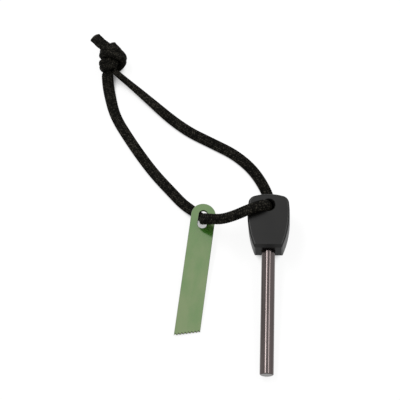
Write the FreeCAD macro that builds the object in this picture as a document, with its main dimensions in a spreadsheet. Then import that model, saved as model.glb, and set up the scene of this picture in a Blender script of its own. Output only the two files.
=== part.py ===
import FreeCAD, Part
import Sketcher
import math
import os
from FreeCAD import Placement, Rotation, Vector

doc = FreeCAD.newDocument("ferro_rod_fire_starter")

# Driving dimensions: millimetres, degrees and counts
sheet = doc.addObject("Spreadsheet::Sheet", "Dimensions")
dimensions = {
    "rod_diameter": 6.0,
    "rod_length": 70.0,
    "rod_seat": 14.4,
    "rod_seat_diameter": 5.6,
    "rod_shoulder": 0.2,
    "rod_end_bevel": 0.35,
    "handle_width": 18.7,
    "handle_mouth_width": 12.3,
    "handle_height": 24.9,
    "handle_widest_height": 15.7,
    "handle_thickness": 13.5,
    "handle_crown_radius": 23.1,
    "handle_corner_radius": 3.5,
    "handle_slope_height": 1.0,
    "handle_front_slope": 1.9,
    "handle_back_slope": 1.3,
    "handle_edge_radius": 1.0,
    "handle_mouth_edge_bevel": 0.4,
    "bore_diameter": 6.4,
    "bore_depth": 14.7,
    "bore_mouth_bevel": 0.2,
    "glue_setback": 0.7,
    "cord_hole_diameter": 5.3,
    "cord_hole_drop": 5.4,
    "cord_hole_rim_bevel": 0.4,
    "striker_width": 11.1,
    "striker_length": 61.5,
    "striker_thickness": 1.4,
    "striker_edge_bevel": 0.15,
    "striker_end_slant": 15.6,
    "striker_teeth": 8,
    "tooth_depth": 0.72,
    "slot_width": 4.2,
    "slot_length": 8.7,
    "slot_drop": 3.3,
    "cord_diameter": 3.7,
    "cord_sides": 8,
    "knot_cord_diameter": 2.4,
    "knot_cord_sides": 6,
    "short_tail_length": 1.5,
}
for row, (alias, value) in enumerate(dimensions.items(), start=1):
    sheet.set("A%d" % row, alias)
    sheet.set("B%d" % row, str(value))
    sheet.setAlias("B%d" % row, alias)
doc.recompute()

# How the object lies: the rod's tip is on the table, and the cord under the handle props it up
ROD_PITCH = 6.0
HANDLE_ROLL = 4.1
ROD_TIP_X = 15.2
ROD_TIP_Y = -40.5
STRIKER_PITCH = 4.4
STRIKER_ROLL = 4.0
STRIKER_TURN = 5.3
STRIKER_END_X = -19.4
STRIKER_END_Y = -22.2
HOLE_REACH_UP = 8.9
HOLE_REACH_DOWN = 8.9


def size(alias):
    """The value of one cell of the sheet."""
    return float(getattr(sheet, alias))


def origin_plane(body, role):
    for feature in body.Origin.OriginFeatures:
        if feature.Role == role:
            return feature
    raise ValueError("no plane " + role)


def new_body(label):
    body = doc.addObject("PartDesign::Body", label)
    body.Label = label
    return body


def new_sketch(body, name, role, offset=None):
    sketch = body.newObject("Sketcher::SketchObject", name)
    sketch.AttachmentSupport = [(origin_plane(body, role), "")]
    sketch.MapMode = "FlatFace"
    if offset is not None:
        sketch.AttachmentOffset = offset
    return sketch


def constrain(sketch, kind, *where, formula=None):
    """Adds one constraint, driven by a formula of the sheet's cells where one is given."""
    index = sketch.addConstraint(Sketcher.Constraint(kind, *where))
    if formula is not None:
        sketch.setExpression("Constraints[%d]" % index, formula)
    return index


def add_circle(sketch, x, y, diameter, x_formula="0 mm", y_formula="0 mm", diameter_formula=None):
    index = sketch.addGeometry(Part.Circle(Vector(x, y, 0), Vector(0, 0, 1), diameter / 2))
    constrain(sketch, "Diameter", index, diameter, formula=diameter_formula)
    constrain(sketch, "DistanceX", -1, 1, index, 3, x, formula=x_formula)
    constrain(sketch, "DistanceY", -1, 1, index, 3, y, formula=y_formula)


def both_sides(feature):
    """Makes a pad or pocket run to both sides of its sketch."""
    if hasattr(feature, "SideType"):
        feature.SideType = "Symmetric"
    else:
        feature.Midplane = True


def add_pad(body, name, sketch, formula, symmetric=False, reverse=False):
    pad = body.newObject("PartDesign::Pad", name)
    pad.Profile = sketch
    if symmetric:
        both_sides(pad)
    pad.Reversed = reverse
    pad.setExpression("Length", formula)
    doc.recompute()
    return pad


def check_cut(body, volume_before, name):
    """Stops the build where a cut took no material away."""
    if body.Shape.Volume > volume_before - 0.01:
        raise ValueError(name + " cut nothing")


def add_pocket(body, name, sketch, formula=None, symmetric=False, reverse=False):
    """Cuts a pocket, through all where no depth is given, and checks that it took material away."""
    before = body.Shape.Volume
    pocket = body.newObject("PartDesign::Pocket", name)
    pocket.Profile = sketch
    if symmetric:
        both_sides(pocket)
    pocket.Reversed = reverse
    if formula is None:
        pocket.Type = "ThroughAll"
    else:
        pocket.setExpression("Length", formula)
    doc.recompute()
    check_cut(body, before, name)
    return pocket


def edge_names(shape, wanted):
    """Names of the edges for which wanted(edge) holds."""
    return ["Edge%d" % number for number, edge in enumerate(shape.Edges, start=1) if wanted(edge)]


def dress(body, kind, name, wanted, prop, formula):
    """A fillet or chamfer on the wanted edges of the body's last feature."""
    base = body.Tip
    names = edge_names(base.Shape, wanted)
    if not names:
        raise ValueError(name + " found no edges")
    feature = body.newObject(kind, name)
    feature.Base = (base, names)
    feature.setExpression(prop, formula)
    doc.recompute()
    return feature


def in_plane(edge, axis, value, tolerance=0.01):
    """Tells whether an edge lies in the plane where one coordinate has the value."""
    box = edge.BoundBox
    low, high = {"x": (box.XMin, box.XMax), "y": (box.YMin, box.YMax), "z": (box.ZMin, box.ZMax)}[axis]
    return abs(low - value) < tolerance and abs(high - value) < tolerance


def build_handle():
    """The moulded grip, with the rod's axis along Y, its mouth at the origin and its front towards +Z."""
    body = new_body("handle")
    half_width = size("handle_width") / 2
    half_mouth = size("handle_mouth_width") / 2
    widest = size("handle_widest_height")
    height = size("handle_height")
    crown = size("handle_crown_radius")
    flare = half_width - half_mouth
    side = (flare ** 2 + widest ** 2) / (2 * flare)
    side_formula = (
        "(((Dimensions.handle_width - Dimensions.handle_mouth_width) / 2) ^ 2"
        " + Dimensions.handle_widest_height ^ 2)"
        " / (Dimensions.handle_width - Dimensions.handle_mouth_width) * 1 mm")

    outline = new_sketch(body, "handle_outline", "XY_Plane")
    low = math.asin(widest / side)
    side_centre = half_width - side
    crown_centre = height - crown
    reach = math.hypot(side_centre, crown_centre - widest)
    to_crown = math.atan2(crown_centre - widest, -side_centre)
    meet = to_crown + math.acos((side ** 2 + reach ** 2 - crown ** 2) / (2 * side * reach))
    corner = Vector(side_centre + side * math.cos(meet), widest + side * math.sin(meet), 0)
    crown_angle = math.atan2(corner.y - crown_centre, corner.x)
    up = Vector(0, 0, 1)
    outline.addGeometry(Part.LineSegment(Vector(-half_mouth, 0, 0), Vector(half_mouth, 0, 0)))
    outline.addGeometry(Part.ArcOfCircle(Part.Circle(Vector(side_centre, widest, 0), up, side), -low, meet))
    outline.addGeometry(
        Part.ArcOfCircle(Part.Circle(Vector(0, crown_centre, 0), up, crown), crown_angle, math.pi - crown_angle))
    outline.addGeometry(
        Part.ArcOfCircle(Part.Circle(Vector(-side_centre, widest, 0), up, side), math.pi - meet, math.pi + low))
    constrain(outline, "Coincident", 0, 2, 1, 1)
    constrain(outline, "Coincident", 1, 2, 2, 1)
    constrain(outline, "Coincident", 2, 2, 3, 1)
    constrain(outline, "Coincident", 3, 2, 0, 1)
    constrain(outline, "PointOnObject", 0, 1, -1)
    constrain(outline, "Symmetric", 0, 1, 0, 2, -2)
    constrain(outline, "DistanceX", 0, 1, 0, 2, 2 * half_mouth, formula="Dimensions.handle_mouth_width * 1 mm")
    constrain(outline, "Symmetric", 1, 3, 3, 3, -2)
    constrain(outline, "DistanceY", -1, 1, 1, 3, widest, formula="Dimensions.handle_widest_height * 1 mm")
    constrain(outline, "Radius", 1, side, formula=side_formula)
    constrain(outline, "PointOnObject", 2, 3, -2)
    constrain(outline, "Radius", 2, crown, formula="Dimensions.handle_crown_radius * 1 mm")
    constrain(
        outline, "DistanceY", -1, 1, 2, 3, crown_centre,
        formula="(Dimensions.handle_height - Dimensions.handle_crown_radius) * 1 mm")
    doc.recompute()
    add_pad(body, "handle_block", outline, "Dimensions.handle_thickness * 1 mm", symmetric=True)

    def at_top_corner(edge):
        centre = edge.BoundBox.Center
        return abs(abs(centre.x) - corner.x) < 0.01 and abs(centre.y - corner.y) < 0.01

    dress(body, "PartDesign::Fillet", "handle_corners", at_top_corner, "Radius",
          "Dimensions.handle_corner_radius * 1 mm")

    # Both faces slope back to the mouth over a short height, the front one deeper than the back one
    half_thickness = size("handle_thickness") / 2
    slope_height = size("handle_slope_height")
    slopes = new_sketch(body, "handle_mouth_slopes", "YZ_Plane")
    for sign, direction, alias in ((1, "", "handle_front_slope"), (-1, "-", "handle_back_slope")):
        inner = Vector(0, sign * (half_thickness - size(alias)), 0)
        rim = Vector(0, sign * half_thickness, 0)
        upper = Vector(slope_height, sign * half_thickness, 0)
        first = slopes.addGeometry(Part.LineSegment(inner, rim))
        slopes.addGeometry(Part.LineSegment(rim, upper))
        slopes.addGeometry(Part.LineSegment(upper, inner))
        constrain(slopes, "Coincident", first, 2, first + 1, 1)
        constrain(slopes, "Coincident", first + 1, 2, first + 2, 1)
        constrain(slopes, "Coincident", first + 2, 2, first, 1)
        constrain(slopes, "PointOnObject", first, 1, -2)
        constrain(slopes, "PointOnObject", first, 2, -2)
        constrain(slopes, "Horizontal", first + 1)
        constrain(slopes, "DistanceX", first + 1, 1, first + 1, 2, slope_height,
                  formula="Dimensions.handle_slope_height * 1 mm")
        constrain(slopes, "DistanceY", -1, 1, first, 2, rim.y,
                  formula="%sDimensions.handle_thickness / 2 * 1 mm" % direction)
        constrain(slopes, "DistanceY", -1, 1, first, 1, inner.y,
                  formula="%s(Dimensions.handle_thickness / 2 - Dimensions.%s) * 1 mm" % (direction, alias))
    doc.recompute()
    add_pocket(body, "handle_slopes", slopes, symmetric=True)

    def at_face_rim(edge):
        on_face = in_plane(edge, "z", half_thickness) or in_plane(edge, "z", -half_thickness)
        return on_face and not in_plane(edge, "y", slope_height)

    dress(body, "PartDesign::Fillet", "handle_rims", at_face_rim, "Radius", "Dimensions.handle_edge_radius * 1 mm")

    def at_mouth_side(edge):
        return in_plane(edge, "x", half_mouth) or in_plane(edge, "x", -half_mouth)

    dress(body, "PartDesign::Chamfer", "handle_mouth_edges", at_mouth_side, "Size",
          "Dimensions.handle_mouth_edge_bevel * 1 mm")

    # The rod's blind bore widens at its mouth, and the cone runs out over the slopes
    radius = size("bore_diameter") / 2
    depth = size("bore_depth")
    mouth_bevel = size("bore_mouth_bevel")
    overshoot = 0.3
    bore = new_sketch(body, "rod_bore_profile", "XY_Plane")
    profile = [
        Vector(0, -overshoot, 0),
        Vector(radius + mouth_bevel + overshoot, -overshoot, 0),
        Vector(radius, mouth_bevel, 0),
        Vector(radius, depth, 0),
        Vector(0, depth, 0),
    ]
    for first, last in zip(profile, profile[1:] + profile[:1]):
        bore.addGeometry(Part.LineSegment(first, last))
    for line in range(5):
        constrain(bore, "Coincident", line, 2, (line + 1) % 5, 1)
    constrain(bore, "PointOnObject", 0, 1, -2)
    constrain(bore, "PointOnObject", 4, 1, -2)
    constrain(bore, "Horizontal", 0)
    constrain(bore, "Vertical", 2)
    constrain(bore, "Horizontal", 3)
    constrain(bore, "DistanceY", -1, 1, 0, 2, -overshoot)
    constrain(bore, "DistanceX", -1, 1, 0, 2, radius + mouth_bevel + overshoot,
              formula="(Dimensions.bore_diameter / 2 + Dimensions.bore_mouth_bevel + %s) * 1 mm" % overshoot)
    constrain(bore, "DistanceY", -1, 1, 1, 2, mouth_bevel, formula="Dimensions.bore_mouth_bevel * 1 mm")
    constrain(bore, "DistanceX", -1, 1, 2, 2, radius, formula="Dimensions.bore_diameter / 2 * 1 mm")
    constrain(bore, "DistanceY", -1, 1, 2, 2, depth, formula="Dimensions.bore_depth * 1 mm")
    doc.recompute()
    before = body.Shape.Volume
    groove = body.newObject("PartDesign::Groove", "rod_bore")
    groove.Profile = bore
    groove.ReferenceAxis = (bore, ["V_Axis"])
    groove.Angle = 360
    doc.recompute()
    check_cut(body, before, "rod_bore")

    hole_height = size("handle_height") - size("cord_hole_drop")
    hole = new_sketch(body, "cord_hole_circle", "XY_Plane")
    add_circle(hole, 0, hole_height, size("cord_hole_diameter"),
               y_formula="(Dimensions.handle_height - Dimensions.cord_hole_drop) * 1 mm",
               diameter_formula="Dimensions.cord_hole_diameter * 1 mm")
    doc.recompute()
    add_pocket(body, "cord_hole", hole, "Dimensions.handle_thickness * 2 * 1 mm", symmetric=True)

    def at_hole_rim(edge):
        round_rim = abs(edge.BoundBox.XLength - size("cord_hole_diameter")) < 0.01
        return round_rim and (in_plane(edge, "z", half_thickness) or in_plane(edge, "z", -half_thickness))

    dress(body, "PartDesign::Chamfer", "cord_hole_rims", at_hole_rim, "Size",
          "Dimensions.cord_hole_rim_bevel * 1 mm")
    return body


def build_rod():
    """The ferrocerium rod: its seat, dressed down for the glue, above the mouth and its bare length below."""
    body = new_body("ferro_rod")
    seat_end = Placement(Vector(0, 0, -size("rod_seat")), Rotation())
    seat = new_sketch(body, "rod_seat_circle", "XZ_Plane", seat_end)
    seat.setExpression("AttachmentOffset.Base.z", "-Dimensions.rod_seat * 1 mm")
    add_circle(seat, 0, 0, size("rod_seat_diameter"), diameter_formula="Dimensions.rod_seat_diameter * 1 mm")
    doc.recompute()
    add_pad(body, "rod_seat", seat, "(Dimensions.rod_seat + Dimensions.rod_shoulder) * 1 mm")
    shoulder = Placement(Vector(0, 0, size("rod_shoulder")), Rotation())
    circle = new_sketch(body, "rod_circle", "XZ_Plane", shoulder)
    circle.setExpression("AttachmentOffset.Base.z", "Dimensions.rod_shoulder * 1 mm")
    add_circle(circle, 0, 0, size("rod_diameter"), diameter_formula="Dimensions.rod_diameter * 1 mm")
    doc.recompute()
    add_pad(body, "rod_bar", circle, "(Dimensions.rod_length - Dimensions.rod_seat - Dimensions.rod_shoulder) * 1 mm")

    def at_end(edge):
        return in_plane(edge, "y", size("rod_seat")) or in_plane(edge, "y", size("rod_seat") - size("rod_length"))

    dress(body, "PartDesign::Chamfer", "rod_ends", at_end, "Size", "Dimensions.rod_end_bevel * 1 mm")
    return body


def build_glue():
    """The thin cup of glue between the rod's seat and its bore."""
    body = new_body("rod_adhesive")
    cup_floor = Placement(Vector(0, 0, -size("bore_depth")), Rotation())
    outer = new_sketch(body, "glue_outer_circle", "XZ_Plane", cup_floor)
    outer.setExpression("AttachmentOffset.Base.z", "-Dimensions.bore_depth * 1 mm")
    add_circle(outer, 0, 0, size("bore_diameter"), diameter_formula="Dimensions.bore_diameter * 1 mm")
    doc.recompute()
    add_pad(body, "glue_plug", outer, "(Dimensions.bore_depth - Dimensions.glue_setback) * 1 mm")
    inner = new_sketch(body, "glue_inner_circle", "XZ_Plane")
    add_circle(inner, 0, 0, size("rod_seat_diameter"), diameter_formula="Dimensions.rod_seat_diameter * 1 mm")
    doc.recompute()
    add_pocket(body, "glue_cup", inner, "Dimensions.rod_seat * 1 mm")
    return body


def build_striker():
    """The flat scraper, along Y from its toothed end at the origin to its round slotted end."""
    body = new_body("striker")
    half = size("striker_width") / 2
    length = size("striker_length")
    slant = math.radians(size("striker_end_slant"))
    rise = half * math.tan(slant)
    thickness = size("striker_thickness")
    up = Vector(0, 0, 1)
    outline = new_sketch(body, "striker_outline", "XY_Plane")
    outline.addGeometry(Part.LineSegment(Vector(-half, -rise, 0), Vector(half, rise, 0)))
    outline.addGeometry(Part.LineSegment(Vector(half, rise, 0), Vector(half, length - half, 0)))
    outline.addGeometry(Part.ArcOfCircle(Part.Circle(Vector(0, length - half, 0), up, half), 0, math.pi))
    outline.addGeometry(Part.LineSegment(Vector(-half, length - half, 0), Vector(-half, -rise, 0)))
    constrain(outline, "Coincident", 0, 2, 1, 1)
    constrain(outline, "Coincident", 3, 2, 0, 1)
    constrain(outline, "Tangent", 1, 2, 2, 1)
    constrain(outline, "Tangent", 2, 2, 3, 1)
    constrain(outline, "Vertical", 1)
    constrain(outline, "Vertical", 3)
    constrain(outline, "PointOnObject", 2, 3, -2)
    constrain(outline, "PointOnObject", -1, 1, 0)
    constrain(outline, "Angle", 0, slant, formula="Dimensions.striker_end_slant * 1 deg")
    constrain(outline, "Radius", 2, half, formula="Dimensions.striker_width / 2 * 1 mm")
    constrain(outline, "DistanceY", -1, 1, 2, 3, length - half,
              formula="(Dimensions.striker_length - Dimensions.striker_width / 2) * 1 mm")
    doc.recompute()
    add_pad(body, "striker_plate", outline, "Dimensions.striker_thickness * 1 mm")

    slot_half = size("slot_width") / 2
    slot_top = length - size("slot_drop") - slot_half
    slot_bottom = length - size("slot_drop") - size("slot_length") + slot_half
    slot = new_sketch(body, "cord_slot_outline", "XY_Plane")
    slot.addGeometry(Part.ArcOfCircle(Part.Circle(Vector(0, slot_top, 0), up, slot_half), 0, math.pi))
    slot.addGeometry(Part.LineSegment(Vector(-slot_half, slot_top, 0), Vector(-slot_half, slot_bottom, 0)))
    slot.addGeometry(
        Part.ArcOfCircle(Part.Circle(Vector(0, slot_bottom, 0), up, slot_half), math.pi, 2 * math.pi))
    slot.addGeometry(Part.LineSegment(Vector(slot_half, slot_bottom, 0), Vector(slot_half, slot_top, 0)))
    for line in range(4):
        constrain(slot, "Tangent", line, 2, (line + 1) % 4, 1)
    constrain(slot, "PointOnObject", 0, 3, -2)
    constrain(slot, "PointOnObject", 2, 3, -2)
    constrain(slot, "Equal", 0, 2)
    constrain(slot, "Radius", 0, slot_half, formula="Dimensions.slot_width / 2 * 1 mm")
    constrain(slot, "DistanceY", -1, 1, 0, 3, slot_top,
              formula="(Dimensions.striker_length - Dimensions.slot_drop - Dimensions.slot_width / 2) * 1 mm")
    constrain(slot, "DistanceY", 2, 3, 0, 3, slot_top - slot_bottom,
              formula="(Dimensions.slot_length - Dimensions.slot_width) * 1 mm")
    doc.recompute()
    add_pocket(body, "cord_slot", slot, "Dimensions.striker_thickness * 1 mm", reverse=True)

    def at_soft_edge(edge):
        flat = in_plane(edge, "z", 0) or in_plane(edge, "z", thickness)
        box = edge.BoundBox
        toothed = box.YMax < rise + 0.01 and box.YMin < 0
        return flat and not toothed

    dress(body, "PartDesign::Chamfer", "striker_edges", at_soft_edge, "Size",
          "Dimensions.striker_edge_bevel * 1 mm")

    # Notches along the slanted end, each a steep vee, leave the row of teeth
    teeth = int(size("striker_teeth"))
    pitch = size("striker_width") / math.cos(slant) / teeth
    pitch_formula = "Dimensions.striker_width / cos(Dimensions.striker_end_slant * 1 deg) / Dimensions.striker_teeth"
    depth = size("tooth_depth")
    overshoot = 0.25
    spread = pitch / 2 * (1 + overshoot / depth)
    start = -pitch * (teeth - 1) / 2
    along_end = Placement(Vector(), Rotation(up, math.degrees(slant)))
    notch = new_sketch(body, "tooth_notch", "XY_Plane", along_end)
    notch.setExpression("AttachmentOffset.Rotation.Angle", "Dimensions.striker_end_slant * 1 deg")
    left = Vector(start - spread, -overshoot, 0)
    right = Vector(start + spread, -overshoot, 0)
    apex = Vector(start, depth, 0)
    notch.addGeometry(Part.LineSegment(left, right))
    notch.addGeometry(Part.LineSegment(right, apex))
    notch.addGeometry(Part.LineSegment(apex, left))
    constrain(notch, "Coincident", 0, 2, 1, 1)
    constrain(notch, "Coincident", 1, 2, 2, 1)
    constrain(notch, "Coincident", 2, 2, 0, 1)
    constrain(notch, "Horizontal", 0)
    constrain(notch, "Equal", 1, 2)
    constrain(notch, "DistanceX", -1, 1, 1, 2, start,
              formula="-%s * (Dimensions.striker_teeth - 1) / 2 * 1 mm" % pitch_formula)
    constrain(notch, "DistanceY", -1, 1, 1, 2, depth, formula="Dimensions.tooth_depth * 1 mm")
    constrain(notch, "DistanceY", -1, 1, 0, 1, -overshoot)
    constrain(notch, "DistanceX", 0, 1, 0, 2, 2 * spread,
              formula="%s * (1 + %s / Dimensions.tooth_depth) * 1 mm" % (pitch_formula, overshoot))
    doc.recompute()
    cut = add_pocket(body, "first_notch", notch, "Dimensions.striker_thickness * 1 mm", reverse=True)
    row_of_teeth = body.newObject("PartDesign::LinearPattern", "teeth")
    row_of_teeth.Originals = [cut]
    row_of_teeth.Direction = (notch, ["H_Axis"])
    row_of_teeth.setExpression("Length", pitch_formula + " * (Dimensions.striker_teeth - 1) * 1 mm")
    row_of_teeth.setExpression("Occurrences", "Dimensions.striker_teeth")
    body.Tip = row_of_teeth
    doc.recompute()
    return body


def rounded_wire(points):
    """Straight runs joined by tangent arcs, and the arcs' radii."""
    edges = []
    radii = []
    start = points[0]
    for before, here, after in zip(points, points[1:], points[2:]):
        come = here - before
        leave = after - here
        setback = 0.45 * min(come.Length, leave.Length)
        come.normalize()
        leave.normalize()
        half_turn = come.getAngle(leave) / 2
        radius = setback / math.tan(half_turn)
        first = here - come * setback
        last = here + leave * setback
        inward = leave - come
        inward.normalize()
        middle = here + inward * (radius / math.cos(half_turn) - radius)
        edges.append(Part.LineSegment(start, first).toShape())
        edges.append(Part.Arc(first, middle, last).toShape())
        radii.append(round(radius, 1))
        start = last
    edges.append(Part.LineSegment(start, points[-1]).toShape())
    return Part.Wire(edges), radii


def tube(points, diameter, sides, name):
    """A faceted cord along the points, checked against its section times its length."""
    path, radii = rounded_wire(points)
    ahead = Rotation(Vector(0, 0, 1), points[1] - points[0])
    corners = []
    for number in range(sides):
        angle = 2 * math.pi * number / sides
        corners.append(points[0] + ahead.multVec(Vector(math.cos(angle), math.sin(angle), 0)) * (diameter / 2))
    section = Part.makePolygon(corners + corners[:1])
    solid = path.makePipeShell([section], True, False)
    expected = Part.Face(section).Area * path.Length
    print(name, "length %.1f, volume %.1f of %.1f, radii" % (path.Length, solid.Volume, expected), radii)
    if abs(solid.Volume / expected - 1) > 0.02:
        raise ValueError(name + " has a wrong volume")
    return solid


def new_solid(label, shape):
    thing = doc.addObject("Part::Feature", label)
    thing.Label = label
    thing.Shape = shape
    return thing


# The rod lies along Y, so the handle, the rod and its glue share one placement
lying = Rotation(Vector(1, 0, 0), ROD_PITCH) * Rotation(Vector(0, 1, 0), -HANDLE_ROLL)
pitch_angle = math.radians(ROD_PITCH)
tip_height = size("rod_diameter") / 2 * math.cos(pitch_angle) - size("rod_end_bevel") * math.sin(pitch_angle)
tip_to_mouth = lying.multVec(Vector(0, size("rod_length") - size("rod_seat"), 0))
mouth = Vector(ROD_TIP_X, ROD_TIP_Y, tip_height) + tip_to_mouth
handle_place = Placement(mouth, lying)
handle = build_handle()
rod = build_rod()
glue = build_glue()
for body in (handle, rod, glue):
    body.Placement = handle_place

# The striker's round end is propped up by the cord under it, and its lowest tooth is on the table
striker = build_striker()
striker_turned = (
    Rotation(Vector(0, 0, 1), -STRIKER_TURN)
    * Rotation(Vector(1, 0, 0), STRIKER_PITCH)
    * Rotation(Vector(0, 1, 0), STRIKER_ROLL))
striker.Placement = Placement(Vector(STRIKER_END_X, STRIKER_END_Y, 0), striker_turned)
doc.recompute()
lift = -striker.Shape.optimalBoundingBox().ZMin
striker_place = Placement(Vector(STRIKER_END_X, STRIKER_END_Y, lift), striker_turned)
striker.Placement = striker_place
doc.recompute()

# The knot's own frame, in millimetres: X across it, Y along it towards the cord's ends, Z up
KNOT_CENTRE = Vector(-61.4, 116.6, 6.2)
KNOT_TURN = 4.0
KNOT_STRAND = [
    Vector(1.8, -4.2, -1.6), Vector(1.5, 0.0, -1.4), Vector(1.7, 3.2, -1.6), Vector(-0.6, 5.1, -2.0),
    Vector(-3.8, 5.3, -1.0), Vector(-5.2, 4.5, 1.5), Vector(-3.5, 3.6, 3.8), Vector(-0.8, 3.0, 4.9),
    Vector(2.4, 2.5, 4.5), Vector(5.0, 2.1, 2.6), Vector(5.6, 1.6, -0.8), Vector(4.1, 0.9, -3.7),
    Vector(0.9, 0.1, -4.9), Vector(-2.3, -0.7, -4.5), Vector(-4.7, -1.4, -2.7), Vector(-5.4, -2.2, -0.4),
    Vector(-4.4, -3.0, 1.8), Vector(-2.3, -2.9, 2.8), Vector(-1.3, -1.2, 1.7), Vector(-1.5, 1.0, 1.4),
    Vector(-1.5, 2.9, 1.4), Vector(-1.7, 4.2, 1.6),
]
RIGHT_ENTRY = Vector(3.2, -6.0, -2.2)
LEFT_ENTRY = Vector(-2.0, -6.0, -2.0)
LONG_EXIT = [Vector(-2.6, 5.6, 2.3), Vector(-4.2, 7.2, 2.0)]
SHORT_EXIT = Vector(1.2, 5.8, 2.4)
knot_place = Placement(KNOT_CENTRE, Rotation(Vector(0, 0, 1), KNOT_TURN))

# The second strand is the first one turned half round the knot's cross axis, and runs beside it
turned_strand = [Vector(point.x, -point.y, -point.z) for point in reversed(KNOT_STRAND)]
first_strand = [knot_place.multVec(point) for point in [RIGHT_ENTRY] + KNOT_STRAND + LONG_EXIT]
second_strand = [knot_place.multVec(point) for point in [LEFT_ENTRY] + turned_strand + [SHORT_EXIT]]

# The cord's hole and slot, on the axes that it passes them by
hole_height = size("handle_height") - size("cord_hole_drop")
half_thickness = size("handle_thickness") / 2
hole_front = handle_place.multVec(Vector(0, hole_height, half_thickness))
hole_back = handle_place.multVec(Vector(0, hole_height, -half_thickness))
hole_middle = (hole_front + hole_back) / 2
hole_axis = (hole_front - hole_back).normalize()
above_hole = hole_middle + hole_axis * HOLE_REACH_UP
below_hole = hole_middle - hole_axis * HOLE_REACH_DOWN
slot_height = size("striker_length") - size("slot_drop") - size("slot_length") / 2
slot_middle = striker_place.multVec(Vector(0, slot_height, size("striker_thickness") / 2))
print("hole front", hole_front, "back", hole_back, "axis", hole_axis)
print("above the hole", above_hole, "below", below_hole)
print("slot", slot_middle, "striker normal", striker_turned.multVec(Vector(0, 0, 1)))

# Routes of the free runs, chosen by hand: from the knot over the table, up through the slot and over to
# the handle, and from under the handle back over the table to the knot
STRIKER_RUN = [
    Vector(-61.8, 99.5, 1.9),
    Vector(-58.5, 87.2, 1.9),
    Vector(-51.8, 76.0, 1.9),
    Vector(-43.7, 64.9, 1.9),
    Vector(-36.0, 53.9, 1.9),
    Vector(-29.5, 46.6, 1.9),
    Vector(-23.5, 40.4, 1.9),
    Vector(-19.6, 37.4, 1.9),
    Vector(-15.2, 33.1, 1.9),
    Vector(-13.2, 29.9, 9.6),
    Vector(-9.6, 28.0, 12.4),
    Vector(-5.3, 27.2, 14.4),
    Vector(0.2, 28.0, 17.0),
    Vector(6.0, 30.0, 19.2),
]
RETURN_RUN = [
    Vector(16.0, 43.8, 1.9),
    Vector(11.2, 54.4, 1.9),
    Vector(4.2, 64.8, 1.9),
    Vector(-7.2, 72.5, 1.9),
    Vector(-19.5, 77.8, 1.9),
    Vector(-32.5, 88.6, 1.9),
    Vector(-45.5, 99.1, 1.9),
]
LONG_TAIL = [
    Vector(-69.8, 128.2, 5.7),
    Vector(-71.3, 131.3, 3.2),
]
KNOT_LEAD = 2.8


def lead(strand):
    """The point that carries on straight from a strand's last run."""
    return strand[-1] + (strand[-1] - strand[-2]).normalize() * KNOT_LEAD


right_lead = lead(first_strand[::-1])
left_lead = lead(second_strand[::-1])
long_lead = lead(first_strand)
cord = size("cord_diameter")
cord_sides = int(size("cord_sides"))
striker_run = [second_strand[0], left_lead] + STRIKER_RUN + [above_hole, hole_middle]
return_run = [hole_middle, below_hole] + RETURN_RUN + [right_lead, first_strand[0]]
long_tail = [first_strand[-1], long_lead] + LONG_TAIL
short_ahead = (second_strand[-1] - second_strand[-2]).normalize()
short_tail = [second_strand[-1], second_strand[-1] + short_ahead * size("short_tail_length")]
new_solid("cord_striker_run", tube(striker_run, cord, cord_sides, "cord_striker_run"))
new_solid("cord_return_run", tube(return_run, cord, cord_sides, "cord_return_run"))
new_solid("cord_long_tail", tube(long_tail, cord, cord_sides, "cord_long_tail"))
new_solid("cord_short_tail", tube(short_tail, cord, cord_sides, "cord_short_tail"))
knot_cord = size("knot_cord_diameter")
knot_sides = int(size("knot_cord_sides"))
first_tube = tube(first_strand, knot_cord, knot_sides, "knot strand 1")
second_tube = tube(second_strand, knot_cord, knot_sides, "knot strand 2")
new_solid("cord_knot", Part.makeCompound([first_tube, second_tube]))
print("least gap between the knot's strands %.2f" % first_tube.distToShape(second_tube)[0])
doc.recompute()

NODES = [
    "handle", "ferro_rod", "rod_adhesive", "striker",
    "cord_striker_run", "cord_return_run", "cord_knot", "cord_long_tail", "cord_short_tail",
]
for thing in doc.Objects:
    if "Invalid" in thing.State or "Error" in thing.State:
        raise ValueError(thing.Name + " failed: " + str(thing.State))
os.makedirs("parts", exist_ok=True)
for label in NODES:
    thing = doc.getObjectsByLabel(label)[0]
    shape = thing.Shape
    if shape.isNull() or not shape.isValid():
        raise ValueError(label + " has no valid shape")
    shape.exportStep(os.path.join("parts", label + ".step"))
    box = shape.optimalBoundingBox()
    corners = tuple(round(v, 2) for v in (box.XMin, box.YMin, box.ZMin, box.XMax, box.YMax, box.ZMax))
    print("%-18s volume %9.1f box %s" % (label, shape.Volume, corners))
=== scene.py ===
"""Dresses a ferro rod fire starter: braided cord and knot, moulded grip, spark rod and coated striker."""
import math

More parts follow.
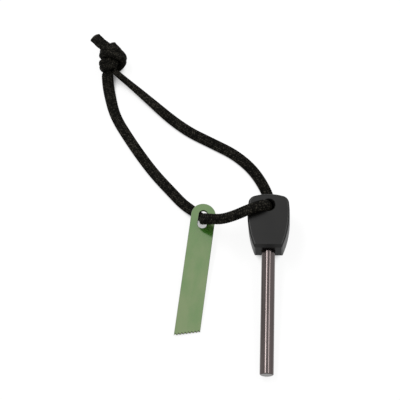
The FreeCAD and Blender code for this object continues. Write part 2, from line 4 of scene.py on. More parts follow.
import bpy
import numpy as np
from bpy.props import FloatProperty, FloatVectorProperty, IntProperty, PointerProperty
from mathutils import Euler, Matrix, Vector


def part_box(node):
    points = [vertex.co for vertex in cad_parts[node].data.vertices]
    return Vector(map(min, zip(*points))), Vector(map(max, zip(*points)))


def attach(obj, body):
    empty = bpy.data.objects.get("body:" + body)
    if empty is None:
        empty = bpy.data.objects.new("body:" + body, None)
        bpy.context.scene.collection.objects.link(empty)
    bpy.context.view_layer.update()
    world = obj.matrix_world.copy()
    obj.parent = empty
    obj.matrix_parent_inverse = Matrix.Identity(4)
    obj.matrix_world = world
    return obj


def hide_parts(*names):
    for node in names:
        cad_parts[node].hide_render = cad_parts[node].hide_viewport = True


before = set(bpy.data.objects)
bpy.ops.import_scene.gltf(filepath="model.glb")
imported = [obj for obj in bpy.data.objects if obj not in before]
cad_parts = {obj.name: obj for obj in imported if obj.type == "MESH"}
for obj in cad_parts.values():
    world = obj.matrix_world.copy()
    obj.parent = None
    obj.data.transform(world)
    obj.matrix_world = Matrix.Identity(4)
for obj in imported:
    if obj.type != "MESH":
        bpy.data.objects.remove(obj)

bl_info = {
    "name": "Ferro Rod Fire Starter",
    "version": (1, 0, 0),
    "blender": (4, 5, 0),
    "location": "View3D > Sidebar > Fire Starter",
    "description": "Braids the cord, seals its ends and finishes the grip, the rod and the striker",
    "category": "Object",
}

MM = 0.001
UP = (0, 0, 1)

# The lamps stand to the left and right of the rod, with their long side along it
LAMP_AIM = (0.015, -0.01, 0.006)
LAMP_REACH = 0.7
LAMP_SLANT = math.radians(25.5)
LAMP_LIFT = math.radians(10.0)
LAMP_WIDTH = 0.14
LAMP_LENGTH = 0.5

# The table: the share of its own white, how dark its shadow gets, and the open sky from there to none
FLOOR_SIZE = 8.0
WHITE_SHARE = 0.82
SHADOW_DEPTH = 0.1
SHADOW_SKY = (0.18, 0.5)

# Nearly all of a noise's values lie in this span
NOISE_SPAN = (0.3, 0.7)

# The rod from the grip to its tip, and how the rod and the striker lie
ROD_AXIS = (0.0, -0.994522, -0.104528)
ROD_PITCH = math.radians(6.0)
PLATE_NORMAL = (0.062389, -0.082648, 0.994624)
PLATE_TURN = math.radians(5.3)

# The braid's mesh: points round the cord, and the way from ring to ring
BRAID_SIDES = 84
BRAID_STEP = 0.19 * MM
# The lump on a cut end: how long a unit of its mesh becomes, and how uneven its rim is
SEAL_STRETCH = 1.6 * MM
SEAL_SWELL = 0.03

# Ways that the flat cord's broad side faces
SIDEWAYS = (1, 0, 0)
LEANING = (-0.1, -0.25, 0.95)
EDGEWAYS = (0.58, 0.72, 0.385)

# Each station of the cord is a place in mm, the cord's form there and the way that its broad side faces.
# From the middle of the grip's hole out at the front, down through the striker's slot and along the
# table to the knot
HOLE_MIDDLE = (15.2, 34.19, 10.8)
STRIKER_RUN = [
    (HOLE_MIDDLE, "free", SIDEWAYS),
    ((14.56, 33.26, 19.63), "free", SIDEWAYS),
    ((6.0, 30.0, 19.2), "free", UP),
    ((0.2, 28.0, 17.0), "free", UP),
    ((-5.3, 27.2, 14.4), "free", UP),
    ((-9.6, 28.0, 12.4), "free", UP),
    ((-14.3, 29.5, 9.4), "spread", (-0.5, 0, 0.85)),
    ((-14.1, 31.6, 5.2), "slot", (-1, 0, 0)),
    ((-15.8, 34.3, 2.4), "knot", (-0.7, 0, 0.7)),
    ((-19.6, 37.4, 2.0), "flat", UP),
    ((-24.0, 40.7, 1.9), "flat", UP),
    ((-29.3, 46.6, 1.8), "flat", UP),
    ((-37.2, 55.3, 1.8), "flat", UP),
    ((-44.3, 64.8, 1.8), "flat", UP),
    ((-51.8, 76.0, 1.8), "flat", UP),
    ((-58.5, 87.2, 1.8), "flat", UP),
    ((-61.9, 99.4, 1.9), "spread", UP),
    ((-63.2, 106.0, 2.2), "spread", UP),
]
# From the middle of the hole out at the back and along the table to the knot
RETURN_RUN = [
    (HOLE_MIDDLE, "free", SIDEWAYS),
    ((15.84, 35.12, 1.97), "flat", (0.7, 0, 0.7)),
    ((16.4, 44.4, 1.8), "flat", UP),
    ((9.5, 58.3, 1.8), "flat", LEANING),
    ((-0.1, 67.5, 1.8), "flat", LEANING),
    ((-10.5, 73.0, 1.8), "flat", LEANING),
    ((-26.3, 81.2, 1.9), "flat", LEANING),
    ((-46.0, 99.3, 2.6), "flat", (0.35, 0.42, 0.83)),
]
LONG_TAIL = [(-68.9, 127.0, 7.1), (-70.7, 128.9, 6.6)]

# The doubled overhand knot, about its middle: the return run's strand, which the other one repeats
# turned over
KNOT_MIDDLE = (-61.4, 116.6, 6.2)
KNOT_TURN = math.radians(1.5)
KNOT_STRAND = [
    (0.4, -3.4, -1.6),
    (1.5, 0.0, -1.4),
    (1.7, 3.2, -1.6),
    (-0.6, 5.1, -2.0),
    (-3.8, 5.3, -1.0),
    (-5.2, 4.0, 1.5),
    (-3.5, 3.6, 3.8),
    (-0.8, 3.0, 4.9),
    (2.4, 2.5, 4.5),
    (4.6, 1.7, 2.5),
    (5.9, 1.4, -0.7),
    (4.1, 0.9, -3.7),
    (0.9, 0.1, -4.9),
    (-2.3, -0.7, -4.5),
    (-4.7, -1.4, -2.7),
    (-5.4, -2.2, -0.4),
    (-4.4, -3.0, 1.8),
    (-2.3, -2.9, 2.8),
    (-1.3, -1.2, 1.7),
    (-1.5, 1.0, 1.4),
    (-1.5, 2.9, 1.4),
    (-1.7, 4.2, 1.6),
]
RIGHT_ENTRY = [(3.8, -8.0, -2.2), (1.1, -5.8, -1.4)]
LEFT_ENTRY = (-2.4, -6.0, -2.6)
LONG_EXIT = [(-2.8, 5.5, 2.3), (-4.5, 7.1, 2.0)]
SHORT_EXIT = [(2.4, 3.4, 1.0), (0.5, 6.0, 0.3)]
# How far the long end goes straight on from the knot, and how far the short one does
KNOT_LEAD = 2.8
SHORT_TAIL = 3.0


class StageLook(bpy.types.PropertyGroup):
    """The camera, the floor and the light."""
    camera_elevation: FloatProperty(
        name="Camera Elevation", description="How far the camera looks down", default=math.radians(62.0),
        subtype="ANGLE")
    camera_turn: FloatProperty(
        name="Camera Turn", description="How far the camera is turned to the left",
        default=math.radians(2.0792), subtype="ANGLE")
    camera_distance: FloatProperty(
        name="Camera Distance", description="From the camera to the middle of the picture on the table",
        default=0.52044, unit="LENGTH")
    camera_aim: FloatVectorProperty(
        name="Camera Aim", description="The place on the table at the middle of the picture",
        default=(-0.0161, 0.044, 0.0), subtype="TRANSLATION", unit="LENGTH")
    camera_lens: FloatProperty(
        name="Lens", description="Focal length on a 36 mm wide sensor", default=101.502)
    ambient: FloatProperty(
        name="Ambient", description="Brightness of the white room for soft light", default=0.6, min=0.0)
    left_power: FloatProperty(
        name="Left Lamp Power", description="Power of the soft lamp on the left", default=2.0, min=0.0,
        unit="POWER")
    right_power: FloatProperty(
        name="Right Lamp Power", description="Power of the soft lamp on the right", default=1.0, min=0.0,
        unit="POWER")
    floor_color: FloatVectorProperty(
        name="Floor", description="Colour of the table", default=(0.85, 0.85, 0.85), subtype="COLOR")
    shadow_reach: FloatProperty(
        name="Shadow Reach", description="How close above the table a piece keeps its light off",
        default=9.0 * MM, unit="LENGTH")
    floor_glow: FloatProperty(
        name="Floor Glow", description="Brightness of the table's own white, which its shadows dim",
        default=1.06, min=0.0)


class CordLook(bpy.types.PropertyGroup):
    """The braided cord."""
    flat_width: FloatProperty(
        name="Flat Width", description="Width where the cord lies flat on the table", default=5.2 * MM,
        unit="LENGTH")
    flat_thickness: FloatProperty(
        name="Flat Thickness", description="Thickness where the cord lies flat on the table",
        default=3.3 * MM, unit="LENGTH")
    free_width: FloatProperty(
        name="Free Width", description="Width where the cord hangs free", default=5.0 * MM, unit="LENGTH")
    free_thickness: FloatProperty(
        name="Free Thickness", description="Thickness where the cord hangs free", default=4.0 * MM,
        unit="LENGTH")
    end_spread: FloatProperty(
        name="End Spread", description="How much wider the cord is at its tails", default=1.1, min=1.0)
    slot_width: FloatProperty(
        name="Slot Width", description="Width where the striker's slot squeezes the cord",
        default=4.7 * MM, unit="LENGTH")
    slot_thickness: FloatProperty(
        name="Slot Thickness", description="Thickness where the striker's slot squeezes the cord",
        default=3.2 * MM, unit="LENGTH")
    knot_width: FloatProperty(
        name="Knot Width", description="Width of the cord pulled tight in the knot", default=3.8 * MM,
        unit="LENGTH")
    knot_thickness: FloatProperty(
        name="Knot Thickness", description="Thickness of the cord pulled tight in the knot",
        default=2.9 * MM, unit="LENGTH")
    yarns: IntProperty(
        name="Yarns", description="Yarns that run each way round the braid", default=12, min=4, step=4)
    pick: FloatProperty(
        name="Pick", description="Length of cord that one crossing takes", default=1.05 * MM, unit="LENGTH")
    relief: FloatProperty(
        name="Relief", description="How far the yarns stand out of the grooves", default=0.22 * MM,
        unit="LENGTH")
    # Painted shade in the grooves between the yarns
    groove_shade_color: FloatVectorProperty(
        name="Grooves", description="Colour between the yarns", default=(0.0004, 0.0004, 0.0003),
        subtype="COLOR")
    # Painted light on the crowns of the yarns
    crown_lit_color: FloatVectorProperty(
        name="Crowns", description="Colour on top of the yarns", default=(0.058, 0.053, 0.042),
        subtype="COLOR")
    seal_color: FloatVectorProperty(
        name="Sealed Ends", description="Colour of the melted ends", default=(0.018, 0.02, 0.01),
        subtype="COLOR")


class GripLook(bpy.types.PropertyGroup):
    """The moulded grip and the glue in it."""
    dark_color: FloatVectorProperty(
        name="Dark Tone", description="Darker tone of the plastic", default=(0.0035, 0.0035, 0.0033),
        subtype="COLOR")
    light_color: FloatVectorProperty(
        name="Light Tone", description="Lighter tone of the plastic", default=(0.0065, 0.0063, 0.0058),
        subtype="COLOR")
    grain: FloatProperty(
        name="Grain", description="Size of the mould's grain", default=0.22 * MM, unit="LENGTH")
    glue_color: FloatVectorProperty(
        name="Glue", description="Colour of the cured glue", default=(0.12, 0.1, 0.06), subtype="COLOR")


class RodLook(bpy.types.PropertyGroup):
    """The spark rod."""
    dark_color: FloatVectorProperty(
        name="Dark Tone", description="Darker tone of the metal", default=(0.07, 0.0585, 0.0565),
        subtype="COLOR")
    light_color: FloatVectorProperty(
        name="Light Tone", description="Lighter tone of the metal", default=(0.12, 0.1, 0.098),
        subtype="COLOR")
    end_color: FloatVectorProperty(
        name="Cut End", description="Colour of the cut end", default=(0.07, 0.063, 0.06), subtype="COLOR")


class StrikerLook(bpy.types.PropertyGroup):
    """The coated striker plate."""
    coat_color: FloatVectorProperty(
        name="Coat", description="Colour of the coat", default=(0.028, 0.12, 0.01), subtype="COLOR")
    worn_color: FloatVectorProperty(
        name="Worn Coat", description="Colour of the coat where it has thinned",
        default=(0.085, 0.14, 0.04), subtype="COLOR")
    bare_color: FloatVectorProperty(
        name="Bare Steel", description="Colour of the steel at the cut edges", default=(0.26, 0.26, 0.24),
        subtype="COLOR")
    # Painted shade on the cut faces that face the toothed end
    tooth_shade_color: FloatVectorProperty(
        name="Teeth", description="Colour of the sooty steel between the teeth",
        default=(0.03, 0.035, 0.02), subtype="COLOR")


class FireStarterLook(bpy.types.PropertyGroup):
    """All that can be set."""
    stage: PointerProperty(type=StageLook)
    cord: PointerProperty(type=CordLook)
    grip: PointerProperty(type=GripLook)
    rod: PointerProperty(type=RodLook)
    striker: PointerProperty(type=StrikerLook)


def add_node(tree, kind, inputs=(), **settings):
    """Adds a node, with its inputs set or linked."""
    made = tree.nodes.new(kind)
    for name, value in settings.items():
        setattr(made, name, value)
    for name, value in dict(inputs).items():
        if isinstance(value, bpy.types.NodeSocket):
            tree.links.new(value, made.inputs[name])
        else:
            made.inputs[name].default_value = value
    return made


def add_math(tree, operation, *values):
    """Adds a math node and returns its result."""
    return add_node(tree, "ShaderNodeMath", enumerate(values), operation=operation).outputs[0]


def add_mix(tree, factor, low, high):
    """Adds a mix of two colours and returns its result."""
    made = add_node(tree, "ShaderNodeMix", data_type="RGBA")
    for socket, value in ((made.inputs[0], factor), (made.inputs[6], low), (made.inputs[7], high)):
        if isinstance(value, bpy.types.NodeSocket):
            tree.links.new(value, socket)
        elif socket.type == "RGBA":
            socket.default_value = (*value, 1)
        else:
            socket.default_value = value
    return made.outputs[2]


def add_range(tree, value, low, high, start=0.0, end=1.0):
    """Adds a map range node from start..end to low..high and returns its result."""
    inputs = {"Value": value, "From Min": start, "From Max": end, "To Min": low, "To Max": high}
    return add_node(tree, "ShaderNodeMapRange", inputs).outputs[0]


def add_dot(tree, vector, direction):
    """Adds the dot product of a vector with one direction and returns it."""
    made = add_node(tree, "ShaderNodeVectorMath", {0: vector, 1: direction}, operation="DOT_PRODUCT")
    return made.outputs["Value"]


def seen_rays(tree):
    """1 for rays from the camera or off a glossy or clear surface, 0 for soft light."""
    rays = add_node(tree, "ShaderNodeLightPath").outputs
    seen = add_math(tree, "MAXIMUM", rays["Is Camera Ray"], rays["Is Glossy Ray"])
    return add_math(tree, "MAXIMUM", seen, rays["Is Transmission Ray"])


def grain_group():
    """Fine grain for a bump and broad mottling for a colour, turned and stretched along a surface."""
    if "Grain" in bpy.data.node_groups:
        return bpy.data.node_groups["Grain"]
    tree = bpy.data.node_groups.new("Grain", "ShaderNodeTree")
    for name, kind in (("Turn", "NodeSocketVector"), ("Stretch", "NodeSocketVector"),
                       ("Fine", "NodeSocketFloat"), ("Broad", "NodeSocketFloat")):
        tree.interface.new_socket(name, in_out="INPUT", socket_type=kind)
    for name in ("Height", "Mottle"):
        tree.interface.new_socket(name, in_out="OUTPUT", socket_type="NodeSocketFloat")
    given = tree.nodes.new("NodeGroupInput").outputs
    place = add_node(tree, "ShaderNodeTexCoord").outputs["Object"]
    turned = add_node(tree, "ShaderNodeMapping", {"Vector": place, "Rotation": given["Turn"]}).outputs[0]
    laid = add_node(
        tree, "ShaderNodeVectorMath", {0: turned, 1: given["Stretch"]}, operation="MULTIPLY").outputs[0]
    fine = add_node(tree, "ShaderNodeTexNoise", {"Vector": laid, "Scale": given["Fine"], "Detail": 3.0})
    broad = add_node(tree, "ShaderNodeTexNoise", {"Vector": laid, "Scale": given["Broad"], "Detail": 4.0})
    mottle = add_range(tree, broad.outputs[0], 0.0, 1.0, *NOISE_SPAN)
    result = tree.nodes.new("NodeGroupOutput")
    tree.links.new(fine.outputs[0], result.inputs["Height"])
    tree.links.new(mottle, result.inputs["Mottle"])
    return tree


def add_grain(tree, fine, broad, turn=(0, 0, 0), stretch=(1, 1, 1)):
    """Places the grain group in a material and returns its height and its mottling."""
    made = add_node(tree, "ShaderNodeGroup", node_tree=grain_group())
    for name, value in (("Fine", fine), ("Broad", broad), ("Turn", turn), ("Stretch", stretch)):
        made.inputs[name].default_value = value
    return made.outputs["Height"], made.outputs["Mottle"]


def new_material(name, **uniform):
    """A new material, its node tree and its shader, with the values that are the same all over."""
    material = bpy.data.materials.new(name)
    material.use_nodes = True
    tree = material.node_tree
    shader = tree.nodes["Principled BSDF"]
    for socket, value in uniform.items():
        shader.inputs[socket.replace("_", " ")].default_value = value
    return material, tree, shader


def bump(tree, shader, height, distance, strength=1.0):
    """Feeds a height to the shader's normal."""
    made = add_node(tree, "ShaderNodeBump", {"Height": height, "Distance": distance, "Strength": strength})
    tree.links.new(made.outputs[0], shader.inputs["Normal"])


def cover(piece, material):
    """Gives a piece one material."""
    piece.data.materials.clear()
    piece.data.materials.append(material)


def clear_selection():
    """Deselects everything, the CAD nodes too."""
    for thing in bpy.context.selected_objects:
        thing.select_set(False)


def in_knot(point):
    """A place in the knot, from the knot's own directions to the table's."""
    return Vector(point) @ Euler((0, 0, -KNOT_TURN)).to_matrix() + Vector(KNOT_MIDDLE)


def ahead(strand, reach):
    """The place that a strand reaches when it carries straight on."""
    return strand[-1] + (strand[-1] - strand[-2]).normalized() * reach


def outwards(point):
    """The way that a strand of the knot faces: out of the knot."""
    away = Vector(point) - Vector(KNOT_MIDDLE)
    return (away.x, away.y * 0.4, away.z)


def form_size(look, form):
    """The cord's width and thickness where it is flat, free, in the slot or knot, or spread at its ends."""
    if form == "spread":
        return look.flat_width * look.end_spread, look.flat_thickness
    return getattr(look, form + "_width"), getattr(look, form + "_thickness")


def traced(points):
    """Follows the points with one smooth spline and returns the places along it."""
    curve = bpy.data.curves.new("route", "CURVE")
    curve.dimensions = "3D"
    spline = curve.splines.new("NURBS")
    spline.points.add(len(points) - 1)
    for control, point in zip(spline.points, points):
        control.co = (*point, 1)
    spline.order_u = 3
    spline.use_endpoint_u = True
    spline.resolution_u = 40
    holder = bpy.data.objects.new("route", curve)
    line = bpy.data.meshes.new_from_object(holder)
    places = np.array([vertex.co for vertex in line.vertices])
    bpy.data.objects.remove(holder)
    bpy.data.curves.remove(curve)
    bpy.data.meshes.remove(line)
    return places


def braid(around, along):
    """Height of a two over two braid and the lean of its upper yarn, at places in yarns and picks."""
    right, left = around + along, around - along
    right_yarn, left_yarn = np.floor(right), np.floor(left)
    phase = (right_yarn + left_yarn) % 4
    right_over = phase < 2
    across = np.where(right_over, right - right_yarn, left - left_yarn)
    float_part = np.where(right_over, phase + left - left_yarn, phase - 2 + right - right_yarn) / 2
    # A yarn is rounded across, and dips at both ends of its float
    round_across = np.sin(np.pi * across) ** 0.6
    dip = 0.3 + 0.7 * np.sin(np.pi * np.clip(float_part, 0, 1)) ** 0.5
    return round_across * dip, np.where(right_over, 0.0, 1.0)


def braided_cord(name, stations, look):
    """A braided tube along the stations, with the places along its middle and its length."""
    route = traced([Vector(place) * MM for place, form, face in stations])
    sections = traced([(*form_size(look, form), 0) for place, form, face in stations])
    faces = traced([face for place, form, face in stations])
    sides = BRAID_SIDES
    lengths = np.concatenate([[0], np.cumsum(np.linalg.norm(np.diff(route, axis=0), axis=1))])
    rings = int(lengths[-1] / BRAID_STEP)
    even = np.linspace(0, lengths[-1], rings)
    route, sections, faces = (
        np.stack([np.interp(even, lengths, values[:, axis]) for axis in range(3)], axis=1)
        for values in (route, sections, faces))
    heading = np.gradient(route, axis=0)
    heading /= np.linalg.norm(heading, axis=1)[:, None]
    facing = faces - (faces * heading).sum(1)[:, None] * heading
    facing /= np.linalg.norm(facing, axis=1)[:, None]
    sideways = np.cross(heading, facing)

    turn = np.arange(sides) / sides
    around = np.broadcast_to(turn * look.yarns, (rings, sides))
    along = np.broadcast_to((even / look.pick)[:, None], (rings, sides))
    crown, lean = braid(around, along)
    shrink = look.relief * (1 - crown)
    reach = sections[:, None, :2] / 2 - shrink[:, :, None]
    angle = 2 * np.pi * turn
    places = (
        route[:, None, :]
        + (reach[:, :, 0] * np.cos(angle))[:, :, None] * sideways[:, None, :]
        + (reach[:, :, 1] * np.sin(angle))[:, :, None] * facing[:, None, :])

    ring, side = np.meshgrid(np.arange(rings - 1), np.arange(sides), indexing="ij")
    after = (side + 1) % sides
    quads = np.stack([ring * sides + side, ring * sides + after,
                      (ring + 1) * sides + after, (ring + 1) * sides + side], axis=-1).reshape(-1, 4)
    caps = [list(range(sides))[::-1], list(range((rings - 1) * sides, rings * sides))]
    mesh = bpy.data.meshes.new(name)
    mesh.from_pydata(places.reshape(-1, 3).tolist(), [], quads.tolist() + caps)
    u = np.stack([side, side + 1, side + 1, side], axis=-1) / sides * look.yarns
    v = np.stack([even[ring], even[ring], even[ring + 1], even[ring + 1]], axis=-1) / look.pick
    lay = np.zeros((len(mesh.loops), 2), np.float32)
    lay[:u.size] = np.stack([u.ravel(), v.ravel()], axis=-1)
    mesh.uv_layers.new(name="Lay").data.foreach_set("uv", lay.ravel())
    for label, values in (("crown", crown), ("lean", lean)):
        attribute = mesh.attributes.new(label, "FLOAT", "POINT")
        attribute.data.foreach_set("value", values.ravel().astype(np.float32))
    mesh.shade_smooth()
    piece = bpy.data.objects.new(name, mesh)
    bpy.context.scene.collection.objects.link(piece)
    return piece, route, float(lengths[-1])


def cord_material():
    """Black braided nylon: fibres along each yarn, with painted shade in the grooves and painted light and
    glints on the crowns.
    """
    if "Braided Nylon" in bpy.data.materials:
        return bpy.data.materials["Braided Nylon"]
    look = bpy.context.scene.fire_starter.cord
    material, tree, shader = new_material("Braided Nylon", Specular_IOR_Level=0.03)
    crown = add_node(tree, "ShaderNodeAttribute", attribute_name="crown").outputs["Fac"]
    lean = add_node(tree, "ShaderNodeAttribute", attribute_name="lean").outputs["Fac"]
    lay = add_node(tree, "ShaderNodeUVMap", uv_map="Lay").outputs[0]
    lay = add_node(tree, "ShaderNodeSeparateXYZ", {0: lay})
    right = add_math(tree, "ADD", lay.outputs[0], lay.outputs[1])
    left = add_math(tree, "SUBTRACT", lay.outputs[0], lay.outputs[1])
    height, mottle = add_grain(tree, fine=3500.0, broad=150.0)

    # Five fibres run along each yarn
    fibre_side = add_node(tree, "ShaderNodeMix", {0: lean, 2: right, 3: left}).outputs[0]
    fibres = add_math(tree, "SINE", add_math(tree, "MULTIPLY", fibre_side, 10 * math.pi))
    rough_fibres = add_math(tree, "ADD", add_math(tree, "MULTIPLY", fibres, 0.35), height)

    # Painted glints: some crossings are painted lighter than others
    crossing = add_node(
        tree, "ShaderNodeCombineXYZ", {0: add_math(tree, "FLOOR", right), 1: add_math(tree, "FLOOR", left)})
    glint = add_node(
        tree, "ShaderNodeTexWhiteNoise", {"Vector": crossing.outputs[0]}, noise_dimensions="2D")
    glint = add_range(tree, add_math(tree, "POWER", glint.outputs["Value"], 2.0), 0.1, 1.0)
    # Painted light on the raised crowns of the yarns, with the painted glints, and painted shade in the
    # grooves
    lit_crowns = add_math(tree, "MULTIPLY", add_math(tree, "POWER", crown, 2.0), glint)
    shade = add_math(tree, "MULTIPLY", lit_crowns, add_range(tree, mottle, 0.5, 1.0))
    tree.links.new(add_mix(tree, shade, look.groove_shade_color, look.crown_lit_color), shader.inputs["Base Color"])
    tree.links.new(add_range(tree, height, 0.5, 0.75, *NOISE_SPAN), shader.inputs["Roughness"])
    bump(tree, shader, rough_fibres, 0.02 * MM, 0.6)
    return material


def seal_material():
    """Nylon melted at the cord's cut ends."""
    if "Melted Nylon" in bpy.data.materials:
        return bpy.data.materials["Melted Nylon"]
    look = bpy.context.scene.fire_starter.cord
    material, tree, shader = new_material("Melted Nylon", Specular_IOR_Level=0.35)
    height, mottle = add_grain(tree, fine=1500.0, broad=500.0)
    dark = tuple(0.4 * part for part in look.seal_color)
    tree.links.new(add_mix(tree, mottle, dark, look.seal_color), shader.inputs["Base Color"])
    tree.links.new(add_range(tree, mottle, 0.35, 0.55), shader.inputs["Roughness"])
    bump(tree, shader, height, 0.08 * MM, 0.7)
    return material


def seal_end(name, middle, heading, facing, section):
    """A lump of melted nylon on the cord's cut end."""
    clear_selection()
    bpy.ops.mesh.primitive_cylinder_add(vertices=40, radius=0.5, depth=0.5, location=(0, 0, 0))
    piece = bpy.context.object
    piece.name = name
    bpy.ops.object.mode_set(mode="EDIT")
    bpy.ops.mesh.select_all(action="SELECT")
    bpy.ops.mesh.bevel(offset=0.12, segments=3, affect="EDGES")
    bpy.ops.object.mode_set(mode="OBJECT")
    sideways = heading.cross(facing).normalized()
    facing = sideways.cross(heading).normalized()
    width, thickness = section
    for vertex in piece.data.vertices:
        x, y, z = vertex.co
        swell = 1 + SEAL_SWELL * math.sin(5 * math.atan2(y, x)) * (1 if z > 0 else 0.3)
        vertex.co = middle + (
            sideways * x * width * swell + facing * y * thickness * swell + heading * z * SEAL_STRETCH)
    piece.data.update()
    bpy.ops.object.shade_smooth_by_angle(angle=math.radians(40))
    return piece


def finish_cord(piece, node_names, seal):
    """Hands a cord piece and its sealed end over to the cord's body, with their materials, and hides the
    nodes that they stand for.
    """
    cover(piece, cord_material())
    cover(seal, seal_material())
    for part in (piece, seal):
        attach(part, "cord")
    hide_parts(*node_names)


class FIRE_OT_set_stage(bpy.types.Operator):
    """Puts the camera, the floor and the lamps in place"""
    bl_idname = "fire_starter.set_stage"
    bl_label = "Set Stage"

    def execute(self, context):
        look = context.scene.fire_starter.stage
        clear_selection()
        context.scene.view_settings.view_transform = "Standard"
        level = math.cos(look.camera_elevation)
        forward = Vector((-math.sin(look.camera_turn) * level, math.cos(look.camera_turn) * level,
                          -math.sin(look.camera_elevation)))
        place = Vector(look.camera_aim) - forward * look.camera_distance
        bpy.ops.object.camera_add(location=place, rotation=forward.to_track_quat("-Z", "Y").to_euler())
        camera = context.object
        camera.name = "camera"
        camera.data.sensor_width = 36
        camera.data.lens = look.camera_lens
        context.scene.camera = camera

        bpy.ops.mesh.primitive_plane_add(size=FLOOR_SIZE, location=(0, 0, 0))
        floor = context.object
        floor.name = "floor"
        material = bpy.data.materials.new("Pale Floor")
        material.use_nodes = True
        tree = material.node_tree
        tree.nodes.clear()
        matt = add_node(tree, "ShaderNodeBsdfDiffuse", {"Color": (*look.floor_color, 1)})
        open_sky = add_node(tree, "ShaderNodeAmbientOcclusion", {"Distance": look.shadow_reach})
        glow = add_range(
            tree, open_sky.outputs["AO"], SHADOW_DEPTH * look.floor_glow, look.floor_glow, *SHADOW_SKY)
        plain = add_node(tree, "ShaderNodeEmission", {"Color": (1, 1, 1, 1), "Strength": glow})
        share = add_math(tree, "MULTIPLY", seen_rays(tree), WHITE_SHARE)
        mixed = add_node(tree, "ShaderNodeMixShader", {0: share, 1: matt.outputs[0], 2: plain.outputs[0]})
        add_node(tree, "ShaderNodeOutputMaterial", {"Surface": mixed.outputs[0]})
        cover(floor, material)

        world = bpy.data.worlds.new("White Room")
        world.use_nodes = True
        context.scene.world = world
        tree = world.node_tree
        strength = add_range(tree, seen_rays(tree), look.ambient, 1.0)
        background = tree.nodes["Background"]
        background.inputs["Color"].default_value = (1, 1, 1, 1)
        tree.links.new(strength, background.inputs["Strength"])

        for name, side, power in (("lamp_left", -1, look.left_power), ("lamp_right", 1, look.right_power)):
            rise = look.camera_elevation + LAMP_LIFT
            turned = Euler((rise - math.pi / 2, side * LAMP_SLANT, 0), "YXZ").to_matrix()
            place = Vector(LAMP_AIM) + turned @ Vector((0, 0, LAMP_REACH))
            bpy.ops.object.light_add(type="AREA", location=place, rotation=turned.to_euler())
            lamp = context.object
            lamp.name = name
            lamp.data.shape = "RECTANGLE"
            lamp.data.size = LAMP_WIDTH
            lamp.data.size_y = LAMP_LENGTH
            lamp.data.energy = power
        return {"FINISHED"}


class FIRE_OT_braid_striker_cord(bpy.types.Operator):
    """Braids the cord from the grip through the striker's slot and the knot to its short end"""
    bl_idname = "fire_starter.braid_striker_cord"
    bl_label = "Braid Striker Cord"

    def execute(self, context):
        look = context.scene.fire_starter.cord
        strand = [in_knot(point) for point in (
            [LEFT_ENTRY] + [(x, -y, -z) for x, y, z in KNOT_STRAND[:0:-1]] + SHORT_EXIT)]
        stations = STRIKER_RUN + [(strand[0], "spread", UP)]
        stations += [(place, "knot", outwards(place)) for place in strand[1:-2]]
        stations += [(place, "spread", UP) for place in strand[-2:] + [ahead(strand, SHORT_TAIL)]]
        piece, route, length = braided_cord("braid_striker_run", stations, look)
        heading = (strand[-1] - strand[-2]).normalized()
        seal = seal_end(
            "sealed_short_end", Vector(route[-1]), heading, Vector(UP), form_size(look, "spread"))
        finish_cord(piece, ["cord_striker_run", "cord_short_tail"], seal)
        return {"FINISHED"}


class FIRE_OT_braid_return_cord(bpy.types.Operator):
    """Braids the cord from the grip's back through the knot to its long end"""
    bl_idname = "fire_starter.braid_return_cord"
    bl_label = "Braid Return Cord"

    def execute(self, context):
        look = context.scene.fire_starter.cord
        strand = [in_knot(point) for point in RIGHT_ENTRY + KNOT_STRAND + LONG_EXIT]
        stations = RETURN_RUN + [(strand[0], "flat", EDGEWAYS), (strand[1], "knot", EDGEWAYS)]
        stations += [(place, "knot", outwards(place)) for place in strand[2:-3]]
        tail = strand[-3:] + [ahead(strand, KNOT_LEAD)] + LONG_TAIL
        stations += [(place, "spread", UP) for place in tail]
        piece, route, length = braided_cord("braid_return_run", stations, look)
        heading = (Vector(LONG_TAIL[-1]) - Vector(LONG_TAIL[-2])).normalized()
        seal = seal_end(
            "sealed_long_end", Vector(route[-1]), heading, Vector(UP), form_size(look, "spread"))
        finish_cord(piece, ["cord_return_run", "cord_knot", "cord_long_tail"], seal)
        return {"FINISHED"}


class FIRE_OT_finish_grip(bpy.types.Operator):
    """Gives the moulded grip its satin skin and its fine grain"""
    bl_idname = "fire_starter.finish_grip"
    bl_label = "Finish Grip"

    def execute(self, context):
        look = context.scene.fire_starter.grip
        material, tree, shader = new_material(
            "Moulded Plastic", Specular_IOR_Level=0.0, Coat_Roughness=0.32)
        height, mottle = add_grain(tree, fine=1 / look.grain, broad=90.0)
        tone = add_mix(tree, mottle, look.dark_color, look.light_color)
        tree.links.new(tone, shader.inputs["Base Color"])
        tree.links.new(add_range(tree, height, 0.3, 0.42, *NOISE_SPAN), shader.inputs["Roughness"])
        # The end face round the rod is the least glossy one
        forward = add_dot(tree, add_node(tree, "ShaderNodeTexCoord").outputs["Normal"], ROD_AXIS)
        tree.links.new(add_range(tree, forward, 0.56, 0.26, 0.9, 0.96), shader.inputs["Coat Weight"])
        bump(tree, shader, height, 0.02 * MM, 0.5)
        cover(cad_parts["handle"], material)
        return {"FINISHED"}


class FIRE_OT_finish_glue(bpy.types.Operator):
    """Gives the glue round the rod's seat its amber gloss"""
    bl_idname = "fire_starter.finish_glue"
    bl_label = "Finish Glue"

    def execute(self, context):
        look = context.scene.fire_starter.grip
        material, tree, shader = new_material("Cured Glue", Specular_IOR_Level=0.5)
        height, mottle = add_grain(tree, fine=900.0, broad=400.0)
        dark = tuple(0.6 * part for part in look.glue_color)
        tree.links.new(add_mix(tree, mottle, dark, look.glue_color), shader.inputs["Base Color"])
        tree.links.new(add_range(tree, mottle, 0.15, 0.35), shader.inputs["Roughness"])
        bump(tree, shader, height, 0.05 * MM, 0.5)
        cover(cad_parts["rod_adhesive"], material)
        return {"FINISHED"}


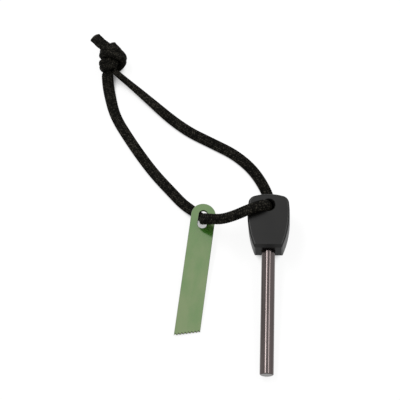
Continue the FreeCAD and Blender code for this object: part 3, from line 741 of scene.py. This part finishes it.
class FIRE_OT_finish_rod(bpy.types.Operator):
    """Gives the spark rod its drawn metal skin and its plain cut end"""
    bl_idname = "fire_starter.finish_rod"
    bl_label = "Finish Rod"

    def execute(self, context):
        look = context.scene.fire_starter.rod
        material, tree, shader = new_material("Ferrocerium", Metallic=1.0)
        height, mottle = add_grain(
            tree, fine=3000.0, broad=700.0, turn=(-ROD_PITCH, 0, 0), stretch=(1, 0.03, 1))
        along = add_dot(tree, add_node(tree, "ShaderNodeTexCoord").outputs["Object"], ROD_AXIS)
        low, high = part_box("ferro_rod")
        tip = Vector(((low.x + high.x) / 2, low.y, low.z)).dot(Vector(ROD_AXIS))
        end = add_range(tree, along, 0.0, 1.0, tip - 0.8 * MM, tip - 0.6 * MM)
        skin = add_mix(tree, mottle, look.dark_color, look.light_color)
        tree.links.new(add_mix(tree, end, skin, look.end_color), shader.inputs["Base Color"])
        tree.links.new(add_range(tree, height, 0.145, 0.165, *NOISE_SPAN), shader.inputs["Roughness"])
        bump(tree, shader, height, 0.002 * MM, 0.2)
        cover(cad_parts["ferro_rod"], material)
        return {"FINISHED"}


class FIRE_OT_finish_striker(bpy.types.Operator):
    """Gives the striker its green coat, rubbed down to bare steel at the cut edges"""
    bl_idname = "fire_starter.finish_striker"
    bl_label = "Finish Striker"

    def execute(self, context):
        look = context.scene.fire_starter.striker
        material, tree, shader = new_material("Green Coat", IOR=2.4, Specular_Tint=(0.88, 1.0, 0.71, 1.0))
        height, mottle = add_grain(
            tree, fine=1600.0, broad=200.0, turn=(0, 0, PLATE_TURN), stretch=(1, 0.5, 1))
        coordinates = add_node(tree, "ShaderNodeTexCoord").outputs
        # Bare at the cut edges, with painted shade on the cut faces that face the toothed end
        flatness = add_math(tree, "ABSOLUTE", add_dot(tree, coordinates["Normal"], PLATE_NORMAL))
        bare = add_range(tree, flatness, 1.0, 0.0, 0.6, 0.85)
        toothed = add_range(tree, add_dot(tree, coordinates["Normal"], ROD_AXIS), 0.0, 1.0, 0.2, 0.6)
        # The bare steel, with painted shade on the faces towards the toothed end
        steel = add_mix(tree, toothed, look.bare_color, look.tooth_shade_color)
        # The coat is thinner towards the toothed end
        along = add_node(tree, "ShaderNodeSeparateXYZ", {0: coordinates["Object"]}).outputs[1]
        wear = add_math(tree, "ADD", mottle, add_range(tree, along, 0.35, -0.25, -20 * MM, 30 * MM))
        coat = add_mix(tree, wear, look.coat_color, look.worn_color)
        tree.links.new(add_mix(tree, bare, coat, steel), shader.inputs["Base Color"])
        tree.links.new(bare, shader.inputs["Metallic"])
        rough = add_math(tree, "MULTIPLY", bare, 0.2)
        rough = add_math(tree, "ADD", add_range(tree, mottle, 0.13, 0.18), rough)
        tree.links.new(rough, shader.inputs["Roughness"])
        bump(tree, shader, height, 0.01 * MM, 0.4)
        cover(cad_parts["striker"], material)
        return {"FINISHED"}


class FIRE_PT_panel(bpy.types.Panel):
    """Lists the pieces and what can be set"""
    bl_idname = "FIRE_PT_panel"
    bl_label = "Fire Starter"
    bl_space_type = "VIEW_3D"
    bl_region_type = "UI"
    bl_category = "Fire Starter"

    def draw(self, context):
        look = context.scene.fire_starter
        for operator in OPERATORS:
            self.layout.operator(operator.bl_idname)
        for name in ("stage", "cord", "grip", "rod", "striker"):
            box = self.layout.box()
            box.label(text=name.title())
            group = getattr(look, name)
            for prop in group.__annotations__:
                box.prop(group, prop)


LOOKS = (StageLook, CordLook, GripLook, RodLook, StrikerLook, FireStarterLook)
OPERATORS = (
    FIRE_OT_set_stage,
    FIRE_OT_braid_striker_cord,
    FIRE_OT_braid_return_cord,
    FIRE_OT_finish_grip,
    FIRE_OT_finish_glue,
    FIRE_OT_finish_rod,
    FIRE_OT_finish_striker,
)


def register():
    for kind in (*LOOKS, *OPERATORS, FIRE_PT_panel):
        bpy.utils.register_class(kind)
    bpy.types.Scene.fire_starter = PointerProperty(type=FireStarterLook)


def unregister():
    del bpy.types.Scene.fire_starter
    for kind in reversed((*LOOKS, *OPERATORS, FIRE_PT_panel)):
        bpy.utils.unregister_class(kind)


def main():
    register()
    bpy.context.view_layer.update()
    bpy.ops.fire_starter.set_stage()
    bpy.ops.fire_starter.braid_striker_cord()
    bpy.ops.fire_starter.braid_return_cord()
    bpy.ops.fire_starter.finish_grip()
    bpy.ops.fire_starter.finish_glue()
    bpy.ops.fire_starter.finish_rod()
    bpy.ops.fire_starter.finish_striker()


if __name__ == "__main__":
    main()
